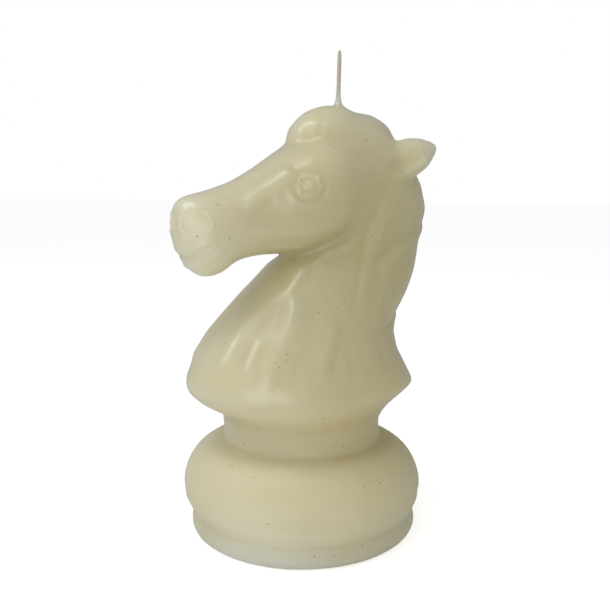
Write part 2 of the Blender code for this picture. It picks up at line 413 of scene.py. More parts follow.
def sculpt_face(skin):
    # nasal ridge that runs up to the brow, and the hollows under and above it
    brow = ((-32.0, -11.9, 125.4), (-28.6, -11.6, 129.6), (-24.4, -11.3, 132.6),
            (-19.8, -12.1, 135.2), (-16.0, -13.0, 138.0), (-12.2, -13.6, 141.4))
    skin.ridge(brow, 2.3, 1.05, ends=0.14, grow=1.8)
    skin.ridge(((-30.0, -12.9, 124.2), (-24.5, -13.2, 127.8), (-19.5, -14.3, 131.2)),
               1.8, -0.35, ends=0.3)
    skin.ridge(((-28.0, -8.6, 134.6), (-23.0, -8.2, 138.4), (-17.6, -8.0, 142.6)),
               2.2, -0.35, ends=0.4)
    # cheekbone, with a hollow above it
    skin.ridge(((-35.9, -12.6, 117.1), (-29.9, -12.5, 119.0), (-22.2, -13.1, 118.6),
                (-14.7, -14.5, 117.9), (-7.6, -16.8, 118.3), (-0.2, -18.6, 120.5),
                (6.3, -18.8, 121.9)), 2.6, 0.55, ends=0.25)
    skin.ridge(((-33.0, -12.8, 121.8), (-24.0, -13.2, 123.4), (-15.0, -15.2, 124.2)),
               2.4, -0.40, ends=0.35)
    # edge of the jaw, with a groove behind it
    jaw = ((-20.0, -9.4, 109.9), (-14.0, -12.6, 109.4), (-7.0, -15.4, 109.2),
           (0.3, -17.0, 109.6), (5.6, -18.1, 111.0), (9.6, -18.6, 113.6),
           (11.6, -18.4, 117.0), (11.8, -18.2, 121.0))
    skin.ridge(jaw, 1.8, 0.36, ends=0.2)
    skin.ridge(((-12.0, -11.0, 106.6), (-4.0, -14.4, 106.6), (3.0, -16.9, 107.2),
                (9.0, -18.4, 109.6), (13.2, -18.9, 113.4), (14.6, -18.9, 118.0)),
               2.2, -0.30, ends=0.25)


MANE_BACK = ((41.0, 154.0), (48.0, 146.0), (52.2, 134.0), (53.6, 122.0), (51.0, 108.0),
             (46.0, 97.0), (41.0, 88.5))
MANE_STRANDS = ((0.0, 0.0, -0.55), (-2.7, 0.7, 0.38), (-5.2, -0.8, -0.55), (-8.0, 0.7, 0.36),
                (-10.8, -0.7, -0.45))
BUST_BACK = ((40.5, 84.0), (43.5, 75.0), (46.0, 65.0))
BUST_FOLDS = ((0.0, 0.30), (-5.0, -0.45), (-10.5, 0.36), (-16.5, -0.40))


def sculpt_back(skin):
    """Strands of the mane down the nape, and the folds under it.

    A strand starts at a distance from the middle, sways and moves outwards as it goes down.
    """
    for start, sway, height in MANE_STRANDS:
        strand = [(x - 0.03 * start ** 2, start * (0.8 + 0.06 * k) + sway * math.sin(1.7 * k), z)
                  for k, (x, z) in enumerate(MANE_BACK)]
        skin.ridge(strand, 1.15, height, ends=0.12)
    for start, height in BUST_FOLDS:
        fold = [(x - 0.02 * start ** 2, start * (1.0 + 0.2 * k), z)
                for k, (x, z) in enumerate(BUST_BACK)]
        skin.ridge(fold, 1.5, height, ends=0.3)


def sculpt_forelock(skin):
    # groove where it meets the forehead
    skin.ridge(((-9.6, 0.0, 149.3), (-9.6, -5.6, 148.6), (-7.6, -10.6, 147.9),
                (-2.5, -14.3, 147.9), (3.6, -15.4, 149.6), (9.6, -15.4, 152.2)),
               1.6, -0.14, ends=0.0)
    # three strands
    skin.ridge(((-3.6, -3.4, 158.6), (-5.4, -5.0, 155.0), (-6.6, -5.0, 151.6)),
               1.5, 0.35, ends=0.3)
    skin.ridge(((1.6, -6.6, 160.4), (-2.6, -9.6, 155.6), (-4.6, -10.6, 151.6)),
               1.2, 0.28, ends=0.3)
    skin.ridge(((6.0, -9.4, 160.6), (1.6, -12.4, 156.0), (-0.6, -13.6, 151.6)),
               1.3, 0.22, ends=0.3)


def sculpt_mane(skin):
    # front edge of the mane, from the ear to the bust, with strands behind it
    edge = ((30.4, -18.0, 138.0), (25.4, -19.2, 132.0), (20.8, -19.6, 125.2),
            (17.3, -19.6, 118.1), (14.6, -20.3, 110.6), (11.6, -22.3, 102.2),
            (8.3, -24.7, 93.3), (5.6, -27.0, 85.0))
    skin.step(edge, 0.9, 0.60, 6.0, ends=0.2)
    skin.ridge(((33.0, -18.2, 135.0), (28.1, -19.4, 128.2), (23.8, -19.9, 121.8),
                (20.6, -20.3, 114.6), (18.0, -21.4, 106.0)), 1.1, 0.32, ends=0.3)
    skin.ridge(((37.0, -17.0, 133.0), (33.2, -18.0, 126.6), (29.6, -18.8, 119.6)),
               1.4, -0.28, ends=0.3)
    skin.ridge(((42.0, -14.6, 134.6), (39.6, -16.2, 128.0), (36.0, -17.6, 120.6)),
               1.3, 0.25, ends=0.3)
    # end of the upper lock, lying over the lower one, with the lower lock's strands
    lock = ((53.6, 0.0, 120.6), (51.0, -8.6, 120.2), (46.6, -13.6, 118.8),
            (40.6, -16.8, 116.6), (34.4, -18.8, 114.3), (27.1, -20.4, 110.9),
            (21.9, -21.2, 106.8), (17.4, -22.2, 102.0))
    skin.step(lock, 1.0, 0.75, 6.5, ends=0.1)
    skin.ridge(((23.3, -21.2, 106.6), (22.1, -22.5, 99.9), (19.4, -24.1, 92.5),
                (14.8, -26.4, 84.0)), 1.2, 0.30, ends=0.3)
    skin.ridge(((33.0, -18.6, 108.0), (29.6, -20.6, 100.0), (25.0, -23.0, 92.0),
                (19.6, -25.6, 85.0)), 1.5, -0.28, ends=0.3)
    skin.ridge(((40.6, -15.6, 110.4), (37.6, -17.8, 102.0), (32.6, -20.4, 93.4),
                (26.6, -23.6, 86.0)), 1.5, 0.28, ends=0.3)
    # groove under the lower lock, and its last wisp
    skin.ridge(((39.6, 0.0, 87.4), (38.8, -7.6, 87.2), (36.0, -14.6, 86.2),
                (30.8, -19.0, 84.8), (24.1, -23.3, 82.4), (17.0, -26.6, 80.0)), 1.2, -0.60,
               ends=0.15)
    skin.ridge(((30.6, -19.2, 83.2), (27.7, -21.5, 77.9), (24.6, -25.2, 72.0)),
               0.6, 0.35, ends=0.3)


def sculpt_ears(skin):
    """Each ear is a long shallow hollow with a full lower rim."""
    chosen, ahead, up = skin.around((34.5, -18.4, 145.2), (-0.42, 0, 1), 13.0)
    hollow = -0.95 * np.exp(-((ahead / 7.2) ** 2 + (up / 2.7) ** 2) ** 1.5)
    front_rim = 0.30 * bell(ahead, 7.6, 1.0) * bell(up, 0.0, 4.0)
    skin.lift[chosen] += hollow + front_rim
    # lower rim, upper rim, and the dip across the crown between the crest and the ears
    skin.ridge(((27.4, -18.0, 139.0), (32.0, -18.6, 139.2), (37.0, -19.6, 142.0),
                (42.4, -20.2, 146.0), (47.0, -19.6, 150.0)), 1.2, 0.70, ends=0.25)
    skin.ridge(((27.6, -17.4, 149.0), (32.6, -17.0, 150.6), (38.0, -18.0, 151.8),
                (44.6, -19.0, 152.4)), 0.9, 0.40, ends=0.25)
    skin.ridge(((31.5, 0.0, 158.6), (31.5, -4.0, 157.8), (31.5, -9.0, 154.6)), 4.2, -0.5,
               ends=0.0)


def sculpt_bust(skin):
    # long fold down the front of the chest, with a thin one beside it
    skin.ridge(((-4.6, -10.4, 108.6), (-9.2, -12.5, 103.4), (-12.8, -13.6, 99.4),
                (-15.6, -14.0, 96.4), (-19.9, -12.9, 93.0), (-24.4, -11.6, 89.6),
                (-28.9, -11.0, 85.6), (-33.7, -11.6, 80.4), (-38.7, -12.2, 73.8),
                (-43.4, -11.6, 66.0)), 2.9, 0.95, ends=0.12, grow=1.4)
    skin.ridge(((-15.6, -15.2, 95.4), (-19.2, -16.0, 91.4), (-25.0, -17.6, 84.8),
                (-31.1, -19.8, 76.8), (-35.4, -21.6, 68.8), (-38.2, -22.5, 61.5)),
               1.1, 0.25, ends=0.2)
    # broad second fold, and the valleys in front of it and behind it
    skin.ridge(((-13.2, -16.6, 97.6), (-15.6, -19.6, 90.6), (-19.8, -22.4, 83.2),
                (-24.9, -24.4, 76.4), (-29.8, -25.4, 69.4), (-33.8, -25.4, 62.6)),
               3.2, 1.05, ends=0.2)
    skin.ridge(((-21.4, -13.6, 89.0), (-27.4, -15.2, 82.2), (-33.4, -17.0, 74.4),
                (-38.4, -17.8, 66.0)), 2.6, -0.40, ends=0.25)
    skin.ridge(((-8.4, -20.0, 96.0), (-10.0, -23.4, 88.0), (-13.6, -26.6, 80.0),
                (-18.6, -29.0, 72.0), (-23.6, -30.4, 64.6)), 2.2, -0.40, ends=0.25)
    # nick at the foot of the second fold
    skin.ridge(((-31.4, -28.1, 62.6), (-28.4, -28.9, 64.4), (-25.2, -29.4, 66.6)),
               0.5, 0.35, ends=0.35)
    # lesser folds round the side, under the mane
    skin.ridge(((1.0, -26.6, 88.0), (-1.6, -28.6, 80.6), (-5.4, -31.2, 73.0),
                (-9.0, -34.0, 64.6)), 1.8, -0.42, ends=0.25)
    skin.ridge(((1.4, -27.4, 86.0), (0.6, -30.0, 77.6), (0.8, -33.0, 69.4),
                (1.1, -35.0, 63.0)), 1.6, -0.30, ends=0.25)
    skin.ridge(((-0.2, -26.6, 88.0), (-6.0, -28.6, 79.6), (-11.6, -31.6, 71.0),
                (-15.4, -34.0, 61.6)), 1.8, 0.40, ends=0.25)
    skin.ridge(((8.6, -26.4, 84.0), (9.6, -29.6, 76.0), (11.6, -32.2, 68.0)),
               2.2, 0.30, ends=0.3)
    skin.ridge(((16.0, -27.0, 79.0), (17.6, -28.6, 72.0), (20.6, -30.4, 65.0)),
               1.8, -0.26, ends=0.3)


FOOT_RINGS = (                 # height, spread and lift of the beads and grooves of the foot
    (14.0, 1.3, 0.22), (16.6, 1.4, -0.16), (8.2, 1.0, -0.22), (10.4, 1.2, 0.15))
BASE_TOP = 49.5
COLLAR_INSIDE = 28.0           # skin nearer the axis than this isn't on the base's outside


def sculpt_base(skin):
    """Beads and grooves of the turned base and collar."""
    height = skin.near[:, 2]
    radius = np.hypot(skin.near[:, 0], skin.near[:, 1])
    lift = sum(rise * bell(height, middle, spread) for middle, spread, rise in FOOT_RINGS)
    lift += 0.40 * bell(height, 38.4, 1.2) * ramp(radius, 29.0, 31.0)
    lift += 0.20 * bell(height, 47.6, 0.9) * ramp(36.0 - radius, 0.0, 3.0)
    upright = 1.0 - np.abs(skin.normals[:, 2]) ** 4
    on_base = (height < BASE_TOP) & (radius > COLLAR_INSIDE)
    skin.lift += np.where(on_base, lift * upright, 0.0)


FOOT_SHIFT = 0.9               # the foot and the collar sit off centre, in millimetres
COLLAR_SHIFT = -0.6
FULL_SIDE = math.radians(-140.0)
FULLNESS = 1.3
RAISED_SIDE = math.radians(-30.0)
RAISED = 0.8


def turned_away(angle, side):
    """How far round from a side, without its sign."""
    return np.abs((angle - side + math.pi) % math.tau - math.pi)


def settle_base(points):
    """The foot sits a little off centre, is fuller on one side and lifts on another."""
    near = points / MM
    height = near[:, 2]
    radius = np.hypot(near[:, 0], near[:, 1])
    angle = np.arctan2(near[:, 1], near[:, 0])
    points[:, 0] += FOOT_SHIFT * MM * (1.0 - ramp(height, 3.0, 15.0))
    points[:, 0] += COLLAR_SHIFT * MM * bell(height, 44.0, 6.0) * (radius < 36.0)
    full = bell(turned_away(angle, FULL_SIDE), 0.0, 0.9) * bell(height, 0.6, 2.6)
    full *= ramp(radius, 36.0, 42.0) * FULLNESS
    points[:, 0] += full * MM * np.cos(angle)
    points[:, 1] += full * MM * np.sin(angle)
    rise = bell(turned_away(angle, RAISED_SIDE), 0.0, 0.8) * ramp(radius, 38.0, 45.0)
    rise *= 1.0 - ramp(height, 0.0, 6.0)
    points[:, 2] += RAISED * MM * rise


POUR_WAVES = ((85.0, 0.10), (230.0, 0.05))        # waves to the metre, millimetres


def hand_poured(points, normals):
    """Low, slow unevenness of poured wax."""
    lift = np.array([sum(rise * noise.noise(Vector(p) * waves) for waves, rise in POUR_WAVES)
                     for p in points])
    return points + normals * (lift * MM)[:, None]


def refine(item, inside, cuts):
    """Cut the faces whose centres are inside into smaller ones."""
    edit(item)
    bpy.ops.mesh.select_all(action="DESELECT")
    builder = bmesh.from_edit_mesh(item.data)
    for face in builder.faces:
        face.select_set(inside(face.calc_center_median() / MM))
    bmesh.update_edit_mesh(item.data)
    bpy.ops.mesh.subdivide(number_cuts=cuts)
    leave_edit()


def near_eye(centre):
    return (Vector((centre.x, -abs(centre.y), centre.z)) - EYE).length < 10.0


def near_mouth(centre):
    return centre.x < -37.0 and centre.z > 100.0


def near_ear(centre):
    return (Vector((centre.x, -abs(centre.y), centre.z)) - EAR).length < 14.0


def plugged_casting():
    """The cast body with its wick hole and base well closed, on an even skin."""
    body = copy_of("wax_body", "wax_horse")
    combine(body, round_bar(0.0277, 0.0001, 0.0103, 48), "UNION")
    combine(body, round_bar(0.0013, 0.0048, 0.1648, 24, WICK_X), "UNION")
    apply_modifier(body, "REMESH", mode="VOXEL", voxel_size=CAST_GRID)
    return body


def round_off(body):
    """Melt the casting's edges, least at the bust's hem, the ear tips and the foot."""
    mesh = body.data
    x, _, z = (points_of(mesh) / MM).T
    strength = 1.0 - 0.75 * bell(z, 57.0, 4.0)
    strength *= 1.0 - 0.85 * ramp(x, 40.0, 47.0) * ramp(z, 140.0, 146.0)
    strength *= 1.0 - 0.60 * (1.0 - ramp(z, 0.0, 3.0))
    relax(mesh, 175, strength, pull=0.6, push=-0.618)
    # cheek into neck, top of the chest, crest into crown
    soften(mesh, (18.0, -16.0, 138.0), (17.0, 12.0, 22.0), 215)
    soften(mesh, (-24.0, -4.0, 91.0), (9.0, 12.0, 9.0), 40)
    soften(mesh, (23.0, -5.0, 158.0), (12.0, 12.0, 10.0), 90)
    refine(body, near_mouth, 1)
    refine(body, near_ear, 1)
    refine(body, near_eye, 2)
    relax(mesh, 6, np.ones(len(mesh.vertices)))


def carve(mesh):
    """Everything pressed into the skin: the broad forms first, the fine ones over them."""
    skin = Sculpt(mesh)
    sculpt_bust(skin)
    sculpt_face(skin)
    sculpt_forelock(skin)
    sculpt_mane(skin)
    sculpt_back(skin)
    skin.apply()
    sculpt_ears(skin)
    sculpt_nostrils(skin)
    sculpt_mouth(skin)
    sculpt_eye(skin)
    sculpt_base(skin)
    skin.apply()
    relax(mesh, 3, np.ones(len(mesh.vertices)))
    points = points_of(mesh)
    settle_base(points)
    set_points(mesh, points)
    points = hand_poured(points_of(mesh), normals_of(mesh))
    points[:, 2] = np.maximum(points[:, 2], 0.0)
    set_points(mesh, points)


CLIMBING_WAX = (               # radius and height of the wax drawn up the wick
    (0.0, 0.1716), (0.00086, 0.1714), (0.00092, 0.1700), (0.00106, 0.1688),
    (0.00130, 0.1676), (0.00172, 0.1666), (0.0026, 0.1658), (0.0040, 0.1648),
    (0.0048, 0.1630), (0.0, 0.1610))


def cast_wax():
    body = plugged_casting()
    round_off(body)
    carve(body.data)
    combine(body, turned("wax_skirt", CLIMBING_WAX, 48, WICK_X), "UNION")
    well = turned("well", [(0.0, WELL_DEPTH + GAP), (WELL_CROWN_RADIUS, WELL_DEPTH + GAP),
                           (WELL_RADIUS * WELL_SHOULDER[0] + GAP,
                            WELL_DEPTH * WELL_SHOULDER[1] + GAP),
                           (WELL_RADIUS + GAP, 0.0),
                           (WELL_RADIUS + GAP, -WELL_CUT_BELOW),
                           (0.0, -WELL_CUT_BELOW)], 96)
    combine(body, well, "DIFFERENCE")
    wick_hole(body, 0.0, BORE_TOP_Z)
    shade(body, 50.0)
    return body


# ---- wick, tab and top-up ---------------------------------------------------------------

def braided_wick():
    wick = round_bar(WICK_RADIUS, WICK_LOW_Z, WICK_TIP_Z, WICK_SIDES, WICK_X)
    wick.name = wick.data.name = "braided_wick"
    place(wick)
    edit(wick)
    bpy.ops.mesh.select_all(action="DESELECT")
    builder = bmesh.from_edit_mesh(wick.data)
    for edge in builder.edges:
        a, b = edge.verts
        edge.select_set(abs(a.co.z - b.co.z) > 0.01)
    bmesh.update_edit_mesh(wick.data)
    bpy.ops.mesh.subdivide(number_cuts=WICK_RINGS)
    leave_edit()
    mesh = wick.data
    points = points_of(mesh)
    axis = np.array([WICK_X, 0.0, 0.0])
    offset = points - axis
    angle = np.arctan2(offset[:, 1], offset[:, 0])
    radius = np.hypot(offset[:, 0], offset[:, 1])
    turn = points[:, 2] / BRAID_PITCH * math.tau
    strands = np.maximum(np.cos(2 * angle + turn), np.cos(2 * angle - turn))
    tip = 1.0 - 0.40 * ramp(points[:, 2], WICK_TIP_Z - 0.0008, WICK_TIP_Z) ** 2
    scale = (1.0 - BRAID_RELIEF + BRAID_RELIEF * strands) * tip
    side = radius > 1e-6
    for column, trig in ((0, np.cos(angle)), (1, np.sin(angle))):
        points[side, column] = axis[column] + (radius * scale * trig)[side]
    sway = ramp(points[:, 2], 0.169, WICK_TIP_Z)
    points[:, 0] += WICK_SWAY * sway
    set_points(mesh, points)
    shade(wick, 60.0)
    return wick


def top_up_pour():
    fill = turned("top_up_pour", [
        (0.0, WELL_DEPTH), (WELL_CROWN_RADIUS, WELL_DEPTH),
        (WELL_RADIUS * WELL_SHOULDER[0], WELL_DEPTH * WELL_SHOULDER[1]),
        (WELL_RADIUS - 0.0001, 0.0009), (WELL_RADIUS - 0.0004, 0.0002),
        (WELL_RADIUS - 0.0012, 0.0001), (0.0240, 0.0004), (0.0220, 0.0005),
        (0.0195, 0.0004), (0.0165, 0.00015), (0.0135, 0.0001), (0.0100, 0.0001),
        (0.0060, 0.0001), (0.0, 0.0001)], 112)
    recess = turned("tab_recess", [
        (0.0, TAB_NECK_TOP_Z + GAP), (TAB_NECK_RADIUS + GAP, TAB_NECK_TOP_Z + GAP),
        (TAB_NECK_RADIUS + GAP, 0.0016), (TAB_NECK_RADIUS + 0.0009, 0.0010),
        (TAB_RADIUS + GAP, 0.0010), (TAB_RADIUS + 0.0004, -0.001), (0.0, -0.001)],
        96, WICK_X)
    combine(fill, recess, "DIFFERENCE")
    wick_hole(fill, 0.0, 0.020)
    shade(fill, 35.0)
    return fill


def wick_tab():
    top = TAB_LOW_Z + TAB_THICKNESS
    tab = turned("pressed_tab", [
        (TAB_HOLE_RADIUS, TAB_NECK_TOP_Z), (TAB_NECK_RADIUS - 0.00025, TAB_NECK_TOP_Z),
        (TAB_NECK_RADIUS, TAB_NECK_TOP_Z - 0.0002), (TAB_NECK_RADIUS, top + 0.0007),
        (TAB_NECK_RADIUS + 0.0002, top + 0.0002), (TAB_NECK_RADIUS + 0.0007, top),
        (0.0048, top), (0.0052, top - TAB_BEAD), (0.0060, top - TAB_BEAD), (0.0064, top),
        (TAB_RADIUS - 0.0002, top), (TAB_RADIUS, top - 0.0001),
        (TAB_RADIUS, TAB_LOW_Z + 0.0001), (TAB_RADIUS - 0.0002, TAB_LOW_Z),
        (0.0064, TAB_LOW_Z), (0.0060, TAB_LOW_Z - TAB_BEAD),
        (0.0052, TAB_LOW_Z - TAB_BEAD), (0.0048, TAB_LOW_Z), (0.0012, TAB_LOW_Z),
        (TAB_HOLE_RADIUS, TAB_LOW_Z + 0.0003), (TAB_HOLE_RADIUS, TAB_NECK_TOP_Z)],
        72, WICK_X)
    # three dents squeeze the neck onto the wick
    mesh = tab.data
    points = points_of(mesh)
    offset = points[:, :2] - np.array([WICK_X, 0.0])
    radius = np.hypot(offset[:, 0], offset[:, 1])
    angle = np.arctan2(offset[:, 1], offset[:, 0])
    crimp = bell(points[:, 2], CRIMP_Z, 0.0011) * (radius < TAB_NECK_RADIUS + 0.0002)
    crimp *= (radius > 0.0011) * np.cos(3 * angle) ** 4 * CRIMP_DEPTH
    points[:, :2] -= offset / np.maximum(radius, 1e-9)[:, None] * crimp[:, None]
    set_points(mesh, points)
    shade(tab, 40.0)
    return tab


# ---- materials --------------------------------------------------------------------------

SPECKED_CELLS = 0.23           # share of the cells that hold a speck of dust
SPECK_SCALE = 270.0
GRAIN_SCALE = 1400.0


def add_node(tree, kind, **values):
    """A node with plain settings as keywords and socket values by name in sockets."""
    node = tree.nodes.new(kind)
    sockets = values.pop("sockets", {})
    for key, value in values.items():
        setattr(node, key, value)
    for key, value in sockets.items():
        node.inputs[key].default_value = value
    return node


def mapped(tree, source, limits, values, kind="LINEAR"):
    """Turn the span between two limits of the source into the span between two values."""
    node = add_node(tree, "ShaderNodeMapRange", interpolation_type=kind,
                    sockets={"From Min": limits[0], "From Max": limits[1],
                             "To Min": values[0], "To Max": values[1]})
    tree.links.new(source, node.inputs["Value"])
    return node.outputs["Result"]


def add_bump(tree, source, strength, distance):
    bump = add_node(tree, "ShaderNodeBump",
                    sockets={"Strength": strength, "Distance": distance})
    tree.links.new(source, bump.inputs["Height"])
    shader = tree.nodes["Principled BSDF"]
    tree.links.new(bump.outputs["Normal"], shader.inputs["Normal"])


def new_material(name):
    """A material, its nodes, its shader and the place on the object."""
    material = bpy.data.materials.new(name)
    material.use_nodes = True
    tree = material.node_tree
    position = tree.nodes.new("ShaderNodeTexCoord").outputs["Object"]
    return material, tree, tree.nodes["Principled BSDF"], position


def mottle_group():
    """Cloudiness, dust specks and skin grain of poured wax."""
    group = bpy.data.node_groups.new("poured_wax_skin", "ShaderNodeTree")
    socket = group.interface.new_socket
    socket(name="Position", in_out="INPUT", socket_type="NodeSocketVector")
    socket(name="Cloud Scale", in_out="INPUT", socket_type="NodeSocketFloat")
    socket(name="Speck Scale", in_out="INPUT", socket_type="NodeSocketFloat")
    socket(name="Cloud", in_out="OUTPUT", socket_type="NodeSocketFloat")
    socket(name="Specks", in_out="OUTPUT", socket_type="NodeSocketFloat")
    socket(name="Grain", in_out="OUTPUT", socket_type="NodeSocketFloat")
    ins = group.nodes.new("NodeGroupInput")
    outs = group.nodes.new("NodeGroupOutput")
    link = group.links.new

    cloud = add_node(group, "ShaderNodeTexNoise",
                     sockets={"Detail": 4.0, "Roughness": 0.55, "Distortion": 0.4})
    link(ins.outputs["Position"], cloud.inputs["Vector"])
    link(ins.outputs["Cloud Scale"], cloud.inputs["Scale"])
    link(cloud.outputs["Fac"], outs.inputs["Cloud"])

    cells = add_node(group, "ShaderNodeTexVoronoi", feature="F1")
    link(ins.outputs["Position"], cells.inputs["Vector"])
    link(ins.outputs["Speck Scale"], cells.inputs["Scale"])
    dot = mapped(group, cells.outputs["Distance"], (0.055, 0.11), (1.0, 0.0))
    split = group.nodes.new("ShaderNodeSeparateColor")
    link(cells.outputs["Color"], split.inputs["Color"])
    rare = add_node(group, "ShaderNodeMath", operation="GREATER_THAN")
    rare.inputs[1].default_value = 1.0 - SPECKED_CELLS
    link(split.outputs["Red"], rare.inputs[0])
    kept = add_node(group, "ShaderNodeMath", operation="MULTIPLY")
    link(dot, kept.inputs[0])
    link(rare.outputs["Value"], kept.inputs[1])
    link(kept.outputs["Value"], outs.inputs["Specks"])

    grain = add_node(group, "ShaderNodeTexNoise",
                     sockets={"Scale": GRAIN_SCALE, "Detail": 3.0, "Roughness": 0.6})
    link(ins.outputs["Position"], grain.inputs["Vector"])
    link(grain.outputs["Fac"], outs.inputs["Grain"])
    return group


SKIN = mottle_group()


def blend_colour(tree, factor, first, second):
    """Mix two colours, each a plain colour or an output."""
    mix = tree.nodes.new("ShaderNodeMix")
    mix.data_type = "RGBA"
    tree.links.new(factor, mix.inputs[0])
    for index, value in ((6, first), (7, second)):
        if isinstance(value, tuple):
            mix.inputs[index].default_value = (*value, 1.0)
        else:
            tree.links.new(value, mix.inputs[index])
    return mix.outputs[2]


def near_spot(tree, position, centre, inner, outer):
    """1 at a spot in the wax, fading to 0 at the outer distance."""
    distance = add_node(tree, "ShaderNodeVectorMath", operation="DISTANCE")
    distance.inputs[1].default_value = centre
    tree.links.new(position, distance.inputs[0])
    return mapped(tree, distance.outputs["Value"], (inner, outer), (1.0, 0.0), "SMOOTHSTEP")


CREAM = (0.800, 0.752, 0.530)
# olive: the tint of the clouds in the wax, and painted shade in the zones below
OLIVE_TONE_AND_SHADE = (0.620, 0.555, 0.275)
# painted shade: the darker warm tone of the bust and collar away from the lights
PAINTED_SHADE_OCHRE = (0.700, 0.595, 0.285)
# painted light: the pale tone of the lit foot front and the muzzle
PAINTED_LIGHT_PALE = (0.890, 0.855, 0.660)
SPECK = (0.400, 0.330, 0.180)

CLOUD_TINT = 0.22              # how far the clouds in the wax go towards olive
DULL_TOP = (0.038, 0.062)      # heights between which the dull skin of the base fades out
DULLNESS = 0.16                # roughness that it adds
COAT_RISE = (0.036, 0.058)     # heights between which the thin glossy skin comes in
COAT_WEIGHTS = (0.06, 0.58)
COAT_ROUGHNESS = 0.21
WAX_IOR = 1.46
WAX_SCATTER = (1.0, 0.97, 0.91)       # red goes deepest


def wax_material(name, zones, cloud_scale, roughness, scatter):
    """Translucent wax: zones are (centre, inner, outer, share, tint), spots of colour that paint
    light and shade on the cast body; scatter is in metres.
    """
    material, tree, shader, position = new_material(name)
    link = tree.links.new
    skin = tree.nodes.new("ShaderNodeGroup")
    skin.node_tree = SKIN
    skin.inputs["Cloud Scale"].default_value = cloud_scale
    skin.inputs["Speck Scale"].default_value = SPECK_SCALE
    link(position, skin.inputs["Position"])

    cloud = mapped(tree, skin.outputs["Cloud"], (0.30, 0.70), (0.0, CLOUD_TINT),
                   "SMOOTHSTEP")
    colour = blend_colour(tree, cloud, CREAM, OLIVE_TONE_AND_SHADE)
    # blend in the zones: on the cast body, painted shade away from the lights and painted light
    # where they fall
    for centre, inner, outer, share, tint in zones:
        spot = near_spot(tree, position, centre, inner, outer)
        strength = add_node(tree, "ShaderNodeMath", operation="MULTIPLY")
        strength.inputs[1].default_value = share
        link(spot, strength.inputs[0])
        colour = blend_colour(tree, strength.outputs["Value"], colour, tint)
    colour = blend_colour(tree, skin.outputs["Specks"], colour, SPECK)
    link(colour, shader.inputs["Base Color"])

    rough = mapped(tree, skin.outputs["Cloud"], (0.25, 0.75),
                   (roughness - 0.05, roughness + 0.09))
    height = tree.nodes.new("ShaderNodeSeparateXYZ")
    link(position, height.inputs["Vector"])
    dull = mapped(tree, height.outputs["Z"], DULL_TOP, (DULLNESS, 0.0), "SMOOTHSTEP")
    total = add_node(tree, "ShaderNodeMath", operation="ADD")
    link(rough, total.inputs[0])
    link(dull, total.inputs[1])
    link(total.outputs["Value"], shader.inputs["Roughness"])
    coat = mapped(tree, height.outputs["Z"], COAT_RISE, COAT_WEIGHTS, "SMOOTHSTEP")
    link(coat, shader.inputs["Coat Weight"])
    add_bump(tree, skin.outputs["Grain"], 0.10, 0.0002)
    shader.inputs["Subsurface Weight"].default_value = 1.0
    shader.inputs["Subsurface Radius"].default_value = WAX_SCATTER
    shader.inputs["Subsurface Scale"].default_value = scatter
    shader.inputs["IOR"].default_value = WAX_IOR
    shader.inputs["Coat Roughness"].default_value = COAT_ROUGHNESS
    return material


# painted light and shade on the cast body: darker olive and ochre away from the lights, paler
# where the lights fall
BODY_LIGHT_AND_SHADE_ZONES = (
    ((0.020, 0.0, 0.110), 0.010, 0.062, 0.85, OLIVE_TONE_AND_SHADE),           # neck: painted shade, darker olive away from the lights
    ((0.014, -0.020, 0.052), 0.010, 0.054, 0.62, PAINTED_SHADE_OCHRE),        # bust and collar, one side: painted shade, darker and warmer away from the lights
    ((0.030, 0.0, 0.050), 0.010, 0.050, 0.35, OLIVE_TONE_AND_SHADE),           # bust and collar, behind: painted shade, darker olive away from the lights
    ((-0.036, -0.032, -0.004), 0.010, 0.034, 0.90, PAINTED_LIGHT_PALE),       # front of the foot: painted light, paler where the lights fall on it
    ((-0.048, 0.0, 0.114), 0.008, 0.034, 0.50, PAINTED_LIGHT_PALE),           # muzzle: painted light, a pale sheen where it faces the lights
)
FILL_ZONES = (((0.0, 0.0, 0.0), 0.004, 0.026, 0.35, OLIVE_TONE_AND_SHADE),)

COTTON_LIGHT = (0.74, 0.69, 0.53)
COTTON_DARK = (0.60, 0.54, 0.38)
COTTON_ROUGHNESS = (0.48, 0.68)


def cotton_material():
    material, tree, shader, position = new_material("waxed_cotton")
    link = tree.links.new
    fibre = add_node(tree, "ShaderNodeTexNoise",
                     sockets={"Scale": 2600.0, "Detail": 3.0, "Roughness": 0.7})
    stretch = add_node(tree, "ShaderNodeMapping")
    stretch.inputs["Scale"].default_value = (1.0, 1.0, 0.25)
    link(position, stretch.inputs["Vector"])
    link(stretch.outputs["Vector"], fibre.inputs["Vector"])
    tone = mapped(tree, fibre.outputs["Fac"], (0.3, 0.7), (0.0, 1.0))
    colour = blend_colour(tree, tone, COTTON_LIGHT, COTTON_DARK)
    link(colour, shader.inputs["Base Color"])
    rough = mapped(tree, fibre.outputs["Fac"], (0.3, 0.7), COTTON_ROUGHNESS)
    link(rough, shader.inputs["Roughness"])
    add_bump(tree, fibre.outputs["Fac"], 0.35, 0.0001)
    shader.inputs["Subsurface Weight"].default_value = 0.3
    shader.inputs["Subsurface Radius"].default_value = (1.0, 0.8, 0.5)
    shader.inputs["Subsurface Scale"].default_value = 0.0006
    return material


TIN_BRIGHT = (0.74, 0.74, 0.72)
TIN_DULL = (0.58, 0.575, 0.55)
TIN_ROUGHNESS = (0.22, 0.42)


